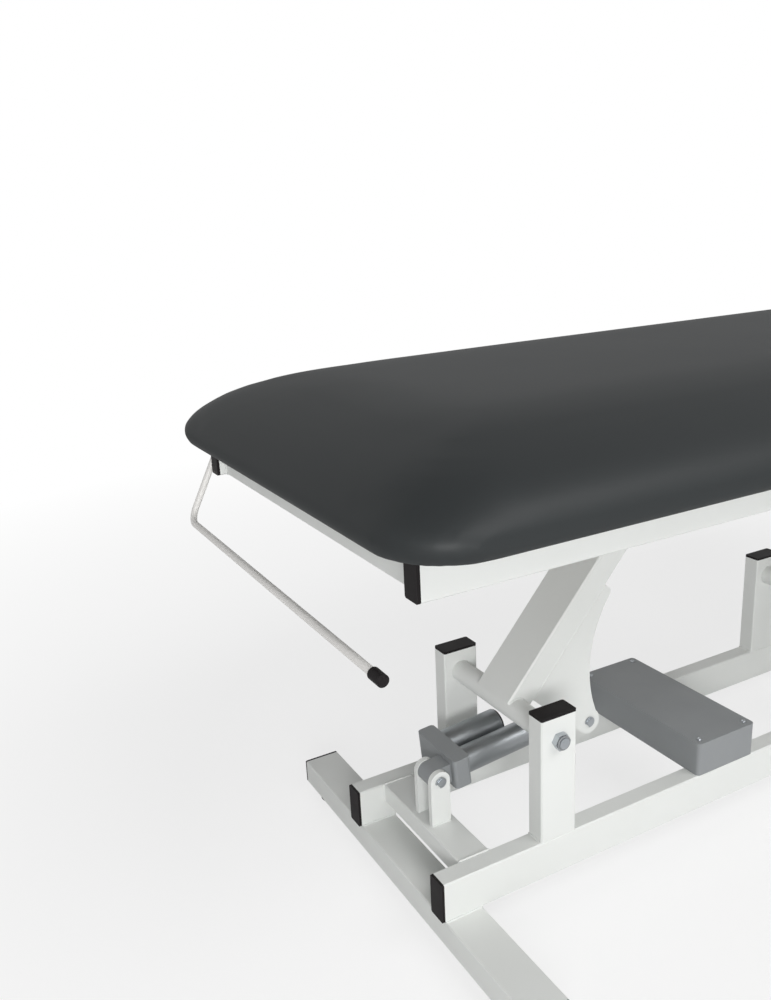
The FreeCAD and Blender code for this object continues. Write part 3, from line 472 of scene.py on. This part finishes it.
# gathers where the cover is folded under each corner
def gatherCorners(pad):
    look = padLook
    corner = look["corner"] * mm
    for v in pad.data.vertices:
        fromCorner = Vector((abs(v.co.x) - halfX + corner, abs(v.co.y) - halfY + corner, 0))
        if min(fromCorner.xy) < 0 or fromCorner.length < corner * look["pleatFrom"]:
            continue
        turn = math.atan2(fromCorner.y, fromCorner.x)
        fade = max(0, 1 - (v.co.z - floorZ) / (2 * crownStart)) * math.sin(2 * turn)
        lift = look["pleatDepth"] * mm * fade * math.cos(4 * look["pleats"] * turn)
        v.co.z += lift if v.co.z > floorZ + 2 * boardGap else max(lift, 0)


def makePad():
    pad = padSkin()
    cutHole(pad)
    roundPad(pad)
    swellPad(pad)
    gatherCorners(pad)
    soften = pad.modifiers.new("soften", "SUBSURF")
    soften.levels = soften.render_levels = 1
    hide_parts("table_pad")
    print("pad done")


makePad()


# weld beads: a row of overlapping puddles along each seam
weldLook = {"radius": 2.0, "pitch": 3.2, "ripple": 0.22, "sides": 8, "perPitch": 3, "sunk": 1.0,
            "endSize": 0.35, "endGrow": 0.3, "wrap": 84, "wrapSteps": 12}


def addBead(bm, path):
    look = weldLook
    step = look["pitch"] * mm / look["perPitch"]
    points = []
    for a, b in zip(path, path[1:]):
        count = max(1, round((b - a).length / step))
        points += [a.lerp(b, k / count) for k in range(count)]
    points.append(path[-1])
    rings = []
    for k, point in enumerate(points):
        ahead = points[min(k + 1, len(points) - 1)] - points[max(k - 1, 0)]
        side = ahead.orthogonal().normalized()
        other = ahead.normalized().cross(side)
        ripple = 1 - look["ripple"] * abs(math.sin(math.pi * k / look["perPitch"]))
        ends = min(1, look["endSize"] + look["endGrow"] * min(k, len(points) - 1 - k))
        size = look["radius"] * mm * ripple * ends
        rings.append([point + size * (math.cos(t) * side + math.sin(t) * other)
                      for t in (2 * math.pi * i / look["sides"] for i in range(look["sides"]))])
    skinRings(bm, rings)


# the beads of each body, and the front arm's line at rest with the direction square to it
weldBeads = {body: bmesh.new() for body in ("base", "table_top", "front_arm", "rear_arm")}
armFoot, armHead = (Vector(joints[name]["pos_m"]) for name in ("lift", "top_level"))
armAlong = (armHead - armFoot).normalized()
armUp = Vector((-armAlong.z, 0, armAlong.x))


def seam(body, *points):
    addBead(weldBeads[body], [Vector(point) for point in points])


# cross rails between the side rails, and the ears under the two pivot rails
def weldTop():
    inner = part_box("side_rail_far")[0].y
    for rail in ("foot_end_rail", "head_end_rail", "front_pivot_rail", "rear_pivot_rail"):
        low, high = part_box(rail)
        for y in (-inner, inner):
            for x in (low.x, high.x):
                seam("table_top", (x, y, low.z), (x, y, high.z))
            seam("table_top", (low.x, y, low.z), (high.x, y, low.z))
    for arm in ("front", "rear"):
        low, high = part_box(arm + "_pivot_rail")
        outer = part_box(arm + "_pivot_ears")[1].y
        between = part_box(arm + "_upright_far")[0].y
        for y in (-outer, -between, between, outer):
            seam("table_top", (low.x, y, low.z), (high.x, y, low.z))


# uprights on the long rails, those on the cross feet, and the actuator's bar with its ears
def weldBase():
    for arm in ("front", "rear"):
        for side in ("near", "far"):
            low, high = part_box("%s_upright_%s" % (arm, side))
            for x in (low.x, high.x):
                seam("base", (x, low.y, low.z), (x, high.y, low.z))
    barLow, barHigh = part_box("actuator_cross_bar")
    for side in ("near", "far"):
        low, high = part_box("base_rail_" + side)
        for foot in ("front_cross_foot", "rear_cross_foot"):
            footLow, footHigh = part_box(foot)
            for y in (low.y, high.y):
                seam("base", (footLow.x, y, low.z), (footHigh.x, y, low.z))
    for y in (barLow.y, barHigh.y):
        for x in (barLow.x, barHigh.x):
            seam("base", (x, y, barLow.z), (x, y, barHigh.z))
        seam("base", (barLow.x, y, barHigh.z), (barHigh.x, y, barHigh.z))
    earLow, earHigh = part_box("actuator_ears")
    for y in (earLow.y, earHigh.y):
        seam("base", (earLow.x, y, earLow.z), (earHigh.x, y, earLow.z))


# sleeves in the ends of both arms
def weldSleeves():
    look = weldLook
    apart = Vector(joints["rear_arm_swing"]["pos_m"]) - armFoot
    sleeveLow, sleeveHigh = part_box("front_lower_sleeve")
    radius = (sleeveHigh.z - sleeveLow.z) / 2
    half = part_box("front_arm_beam")[1].y
    for body, shift in (("front_arm", Vector()), ("rear_arm", apart)):
        for centre, facing in ((armFoot + shift, armAlong), (armHead + shift, -armAlong)):
            for y in (-half, half):
                arc = []
                for k in range(look["wrapSteps"] + 1):
                    turn = math.radians(look["wrap"] * (2 * k / look["wrapSteps"] - 1))
                    arc.append(centre + Vector((0, y, 0))
                               + radius * (math.cos(turn) * facing + math.sin(turn) * armUp))
                seam(body, *arc)


# drive lugs under the front arm: beads inside, and outside a bead sunk in the beam's edge
def weldLugs():
    lugPoints = [v.co - armFoot for v in nodes["drive_lug_near"].data.vertices]
    depth = min(-point.dot(armUp) for point in lugPoints)
    reach = [point.dot(armAlong) for point in lugPoints if -point.dot(armUp) < depth + mm]
    lugLow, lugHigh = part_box("drive_lug_near")
    sunk = weldLook["sunk"] * mm
    for y, drop in ((lugLow.y + sunk, depth - sunk), (lugHigh.y, depth)):
        for sign in (-1, 1):
            ends = [armFoot + armAlong * s - armUp * drop + Vector((0, sign * y, 0))
                    for s in (min(reach), max(reach))]
            seam("front_arm", *ends)


def makeWelds():
    weldTop()
    weldBase()
    weldSleeves()
    weldLugs()
    for body, bm in weldBeads.items():
        addPiece("welds_" + body, bm, "white_powder_coat", body)
    print("welds done")


makeWelds()


def squareTo(axis):
    axis = Vector(axis).normalized()
    side = axis.orthogonal().normalized()
    return axis, side, axis.cross(side)


# turned small parts: rings of (radius, distance along the axis) in mm about a place and a direction
def addTurned(bm, place, axis, profile, sides, hexagon=()):
    axis, side, other = squareTo(axis)
    rings = []
    for index, (radius, along) in enumerate(profile):
        ring = []
        for k in range(sides):
            turn = 2 * math.pi * k / sides
            size = radius
            if index in hexagon:  # flat to flat, so the corners stand out
                size = radius / math.cos((turn % (math.pi / 3)) - math.pi / 6)
            ring.append(Vector(place) + axis * along * mm
                        + size * mm * (math.cos(turn) * side + math.sin(turn) * other))
        rings.append(ring)
    skinRings(bm, rings)


# button-head socket screws, a low dome with a hexagon socket: through the cross rails into the
# board, through the roll bar's plate into the side rail, and in the control box's lid
screwLook = {"radius": 5.0, "rim": 0.8, "height": 2.9, "socket": 1.7, "socketDepth": 1.6,
             "flat": 1.25, "domeSteps": 5, "sides": 24, "endSpread": 200, "pivotSpread": 220,
             "plateOffset": (16, 11), "plateScale": 0.8, "lidInset": 12, "lidScale": 0.75}


def addScrew(bm, place, axis, scale=1.0):
    look = screwLook
    r, rim, h = look["radius"] * scale, look["rim"] * scale, look["height"] * scale
    s, d = look["socket"] * scale, look["socketDepth"] * scale
    flat = s * look["flat"]
    profile = [(r, 0), (r, rim)]
    for k in range(1, look["domeSteps"]):
        turn = math.radians(90 * k / look["domeSteps"])
        profile.append((flat + (r - flat) * math.cos(turn), rim + (h - rim) * math.sin(turn)))
    profile += [(flat, h), (s, h), (s, h - d)]
    addTurned(bm, place, axis, profile, look["sides"], (len(profile) - 2, len(profile) - 1))


def makeScrews():
    look = screwLook
    bm = bmesh.new()
    spreads = {"foot_end_rail": "endSpread", "head_end_rail": "endSpread",
               "front_pivot_rail": "pivotSpread", "rear_pivot_rail": "pivotSpread"}
    for rail, spread in spreads.items():
        low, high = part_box(rail)
        for sign in (-1, 1):
            addScrew(bm, ((low.x + high.x) / 2, sign * look[spread] * mm, low.z), (0, 0, -1))
    low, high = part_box("roll_bar_plate")
    middle = (low + high) / 2
    offX, offZ = (size * mm for size in look["plateOffset"])
    for sign in (-1, 1):
        addScrew(bm, (middle.x + sign * offX, high.y, middle.z + sign * offZ), (0, 1, 0),
                 look["plateScale"])
    addPiece("frameScrews", bm, "zinc_steel", "table_top")
    bm = bmesh.new()
    low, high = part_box("control_box_lid")
    inset = look["lidInset"] * mm
    for x in (low.x + inset, high.x - inset):
        for y in (low.y + inset, high.y - inset):
            addScrew(bm, (x, y, high.z), (0, 0, 1), look["lidScale"])
    addPiece("lidScrews", bm, "zinc_steel", "base")
    print("screws done")


makeScrews()


# lock-nut collars on the axles, and retaining rings on the two actuator pins
collarLook = {"inner": 8.2, "outer": 10.6, "height": 2.4, "round": 0.7, "floor": 0.2, "sides": 32}
ringLook = {"inner": 6.05, "outer": 8.6, "thickness": 1.2, "inset": 1.2, "open": 70, "steps": 30}


def addCollar(bm, place, axis):
    look = collarLook
    a, b, h, r = look["inner"], look["outer"], look["height"], look["round"]
    profile = [(b, 0), (b, h - r), (b - r, h), (a + r, h), (a, h - r), (a, look["floor"])]
    addTurned(bm, place, axis, profile, look["sides"])


def addRetainingRing(bm, place, axis):
    look = ringLook
    axis, side, other = squareTo(axis)
    thick = axis * look["thickness"] * mm
    rings = []
    for k in range(look["steps"] + 1):
        turn = math.radians(look["open"] / 2 + (360 - look["open"]) * k / look["steps"])
        out = (math.cos(turn) * side + math.sin(turn) * other) * mm
        inner, outer = (Vector(place) + out * look[edge] for edge in ("inner", "outer"))
        rings.append([inner, outer, outer + thick, inner + thick])
    skinRings(bm, rings)


def makePivotTrim():
    for body, level in (("base", "lower"), ("table_top", "upper")):
        bm = bmesh.new()
        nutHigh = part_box(level + "_axle_nuts")[1].y
        for arm in ("front", "rear"):
            low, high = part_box("%s_%s_axle" % (arm, level))
            middle = (low + high) / 2
            for sign in (-1, 1):
                addCollar(bm, (middle.x, sign * nutHigh, middle.z), (0, sign, 0))
        addPiece("nutCollars_" + level, bm, "grey_plastic", body)
    pins = (("drive_pin", "front_arm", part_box("drive_lug_far")[1].y),
            ("actuator_anchor_pin", "base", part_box("actuator_ears")[1].y))
    for pin, body, face in pins:
        low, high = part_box(pin)
        middle = (low + high) / 2
        bm = bmesh.new()
        for sign in (-1, 1):
            y = sign * (face + ringLook["inset"] * mm)
            addRetainingRing(bm, (middle.x, y, middle.z), (0, sign, 0))
        addPiece("rings_" + pin, bm, "zinc_steel", body, smooth=False)
    print("pivot trim done")


makePivotTrim()


# actuator trim: a wiper ring at the mouth of the guide and a cap on the motor, with a small hub and
# raised vent bars
actuatorLook = {"wiperInner": 11.3, "wiperOuter": 18.5, "wiperHeight": 4, "wiperSlope": 3,
                "wiperFloor": 0.1, "capHeight": 3, "capInset": 1.0, "capEdge": 1, "hubShare": 0.3,
                "hubTopShare": 0.2, "hubHeight": 1, "vents": 6, "ventFrom": 0.42, "ventLength": 9,
                "ventWidth": 2.4, "ventDepth": 0.6, "sides": 40}


def makeActuatorTrim():
    look = actuatorLook
    anchor, drive = (Vector(joints[name]["pos_m"]) for name in ("actuator_swing", "rod_swing"))
    axis = (drive - anchor).normalized()
    up = Vector((-axis.z, 0, axis.x))

    def endOf(node):
        return max((v.co - anchor).dot(axis) for v in nodes[node].data.vertices)

    a, b, h = look["wiperInner"], look["wiperOuter"], look["wiperHeight"]
    profile = [(b, 0), (b, h / 2), (b - look["wiperSlope"], h), (a, h), (a, look["wiperFloor"])]
    bm = bmesh.new()
    addTurned(bm, anchor + axis * endOf("actuator_guide"), axis, profile, look["sides"])
    addPiece("guideWiper", bm, "black_plastic", "actuator_body")

    motorLow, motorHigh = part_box("actuator_motor")
    aside = Vector((0, (motorLow.y + motorHigh.y) / 2, 0))
    motorEnd = anchor + axis * endOf("actuator_motor") + aside
    h, r = look["capHeight"], (motorHigh.y - motorLow.y) / 2 / mm - look["capInset"]
    edge, hub, hubTop = look["capEdge"], r * look["hubShare"], h + look["hubHeight"]
    profile = [(r, 0), (r, h - edge), (r - edge, h), (hub, h), (hub, hubTop),
               (r * look["hubTopShare"], hubTop)]
    bm = bmesh.new()
    addTurned(bm, motorEnd, axis, profile, look["sides"])
    for k in range(look["vents"]):
        turn = 2 * math.pi * k / look["vents"]
        out = math.cos(turn) * up + math.sin(turn) * Vector((0, 1, 0))
        half = axis.cross(out) * look["ventWidth"] / 2 * mm
        inner = motorEnd + axis * h * mm + out * (r * look["ventFrom"]) * mm
        outer = inner + out * look["ventLength"] * mm
        corners = [inner - half, outer - half, outer + half, inner + half]
        skinRings(bm, [corners, [c + axis * look["ventDepth"] * mm for c in corners]])
    addPiece("motorCap", bm, "black_plastic", "actuator_body")
    print("actuator trim done")


makeActuatorTrim()


# three contact blades in the power inlet
inletLook = {"blade": (1.6, 4.0), "length": 7.5, "spread": 7.0, "rise": 2.0, "straight": 0.8,
             "tip": 0.6}


def makeInletBlades():
    look = inletLook
    low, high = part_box("power_inlet")
    middle = (low + high) / 2
    halfY, halfZ = (size / 2 * mm for size in look["blade"])
    run = Vector((look["length"] * mm, 0, 0))
    bm = bmesh.new()
    for side, rise in ((-1, -1), (0, 1), (1, -1)):
        root = Vector((low.x, middle.y + side * look["spread"] * mm,
                       middle.z + rise * look["rise"] * mm))
        section = [Vector((0, y * halfY, z * halfZ))
                   for y, z in ((-1, -1), (1, -1), (1, 1), (-1, 1))]
        skinRings(bm, [[root + point for point in section],
                       [root + run * look["straight"] + point for point in section],
                       [root + run + point * look["tip"] for point in section]])
    addPiece("inletBlades", bm, "zinc_steel", "base", smooth=False)
    print("inlet blades done")


makeInletBlades()


# studio: pale floor that keeps the shadow and fades to white, white walls under a dim ceiling, a
# low panel at the front left and a broad one overhead, which draws the light band along the pad
stageLook = {"floorSize": 40.0, "floorDrop": 0.5, "floor": "#F2F2F2", "roughness": 0.9,
             "nearGlow": 0.72, "fadeFrom": 1.1, "fadeTo": 2.8, "frontFill": 0.25, "backFill": 0.55,
             "wallTop": 0.62, "ceilingFrom": 0.9, "ceilingStrength": 0.1,
             "floorMirrored": 0.2, "wallMirrored": 0.6, "aim": (-0.3, 0.0, 0.6)}
panelLooks = {"lowPanel": {"place": (-2.55, -3.6, 1.45), "size": (2.0, 1.2), "power": 95.0},
              "overheadPanel": {"place": (0.9, -2.9, 3.9), "size": (3.4, 1.9), "power": 96.0}}


# 1 where the background is looked at straight, and a share of that where it is seen in a reflection
def seenRays(tree, mirrored):
    path = addNode(tree, "ShaderNodeLightPath")
    seen = addNode(tree, "ShaderNodeMath", {"operation": "MULTIPLY_ADD"})
    tree.links.new(path.outputs["Is Glossy Ray"], seen.inputs[0])
    seen.inputs[1].default_value = mirrored
    tree.links.new(path.outputs["Is Camera Ray"], seen.inputs[2])
    return seen.outputs["Value"]


def makeFloor():
    look = stageLook
    bm = bmesh.new()
    bmesh.ops.create_grid(bm, x_segments=1, y_segments=1, size=look["floorSize"] / 2)
    floor = meshObject("floor", bm)
    floor.location.z = -look["floorDrop"] * mm
    material, tree, shader, place = startMaterial("floorPaintedPale", look)
    shader.inputs["Base Color"].default_value = hexColour(look["floor"])
    shader.inputs["Roughness"].default_value = look["roughness"]
    away = addNode(tree, "ShaderNodeVectorMath", {"operation": "LENGTH"}, {"Vector": place})
    fade = addNode(tree, "ShaderNodeMapRange", inputs={
        "Value": away.outputs["Value"], "From Min": look["fadeFrom"], "From Max": look["fadeTo"],
        "To Min": look["nearGlow"], "To Max": 1.0})
    share = addNode(tree, "ShaderNodeMath", {"operation": "MULTIPLY"})
    tree.links.new(fade.outputs["Result"], share.inputs[0])
    tree.links.new(seenRays(tree, look["floorMirrored"]), share.inputs[1])
    glow = addNode(tree, "ShaderNodeEmission", inputs={"Color": (1, 1, 1, 1), "Strength": 1.0})
    mixed = addNode(tree, "ShaderNodeMixShader", inputs={"Fac": share.outputs["Value"]})
    tree.links.new(shader.outputs["BSDF"], mixed.inputs[1])
    tree.links.new(glow.outputs["Emission"], mixed.inputs[2])
    output = next(node for node in tree.nodes if node.type == "OUTPUT_MATERIAL")
    tree.links.new(mixed.outputs["Shader"], output.inputs["Surface"])
    floor.data.materials.append(material)


# the walls count as white where they are looked at straight, in part where they are mirrored, and
# only as soft fill on the object
def makeWalls():
    look = stageLook
    world = bpy.data.worlds.new("surround")
    bpy.context.scene.world = world
    world.use_nodes = True
    tree = world.node_tree
    tree.nodes.clear()
    toward = addNode(tree, "ShaderNodeSeparateXYZ", inputs={
        "Vector": addNode(tree, "ShaderNodeTexCoord").outputs["Generated"]})
    ceiling = addNode(tree, "ShaderNodeMapRange", {"interpolation_type": "SMOOTHSTEP"}, {
        "Value": toward.outputs["Z"], "From Min": look["wallTop"], "From Max": look["ceilingFrom"],
        "To Min": 1.0, "To Max": look["ceilingStrength"]})
    behind = addNode(tree, "ShaderNodeMapRange", inputs={
        "Value": toward.outputs["Y"], "To Min": look["frontFill"], "To Max": look["backFill"]})
    fill = addNode(tree, "ShaderNodeMapRange", inputs={
        "Value": seenRays(tree, look["wallMirrored"]), "To Min": behind.outputs["Result"],
        "To Max": ceiling.outputs["Result"]})
    light = addNode(tree, "ShaderNodeBackground",
                    inputs={"Color": (1, 1, 1, 1), "Strength": fill.outputs["Result"]})
    addNode(tree, "ShaderNodeOutputWorld", inputs={"Surface": light.outputs["Background"]})


def makePanels():
    for name, look in panelLooks.items():
        lamp = bpy.data.lights.new(name, "AREA")
        lamp.shape = "RECTANGLE"
        lamp.size, lamp.size_y = look["size"]
        lamp.energy = look["power"]
        panel = bpy.data.objects.new(name, lamp)
        bpy.context.scene.collection.objects.link(panel)
        panel.location = look["place"]
        facing = Vector(stageLook["aim"]) - Vector(look["place"])
        panel.rotation_mode = "QUATERNION"
        panel.rotation_quaternion = facing.to_track_quat("-Z", "Y")


makeFloor()
makeWalls()
makePanels()
print("stage done")


# camera at the photograph's viewpoint: place, heading from +Y towards +X, tilt down and roll
cameraLook = {"place": (-1.3444, -1.0173, 0.9615), "heading": 27.79, "tilt": 16.93, "roll": -2.89,
              "lens": 33.43, "sensor": 36.0, "clipStart": 0.01}


def makeCamera():
    look = cameraLook
    heading, tilt, roll = (math.radians(look[name]) for name in ("heading", "tilt", "roll"))
    forward = Vector((math.sin(heading) * math.cos(tilt), math.cos(heading) * math.cos(tilt),
                      -math.sin(tilt)))
    right = Vector((math.cos(heading), -math.sin(heading), 0))
    up = right.cross(forward)
    right, up = (math.cos(roll) * right + math.sin(roll) * up,
                 math.cos(roll) * up - math.sin(roll) * right)
    data = bpy.data.cameras.new("camera")
    data.lens = look["lens"]
    data.sensor_width = look["sensor"]
    data.clip_start = look["clipStart"]
    camera = bpy.data.objects.new("camera", data)
    bpy.context.scene.collection.objects.link(camera)
    turned = Matrix((right, up, -forward)).transposed()
    camera.matrix_world = Matrix.Translation(look["place"]) @ turned.to_4x4()
    bpy.context.scene.camera = camera


makeCamera()
bpy.context.scene.view_settings.view_transform = "Standard"
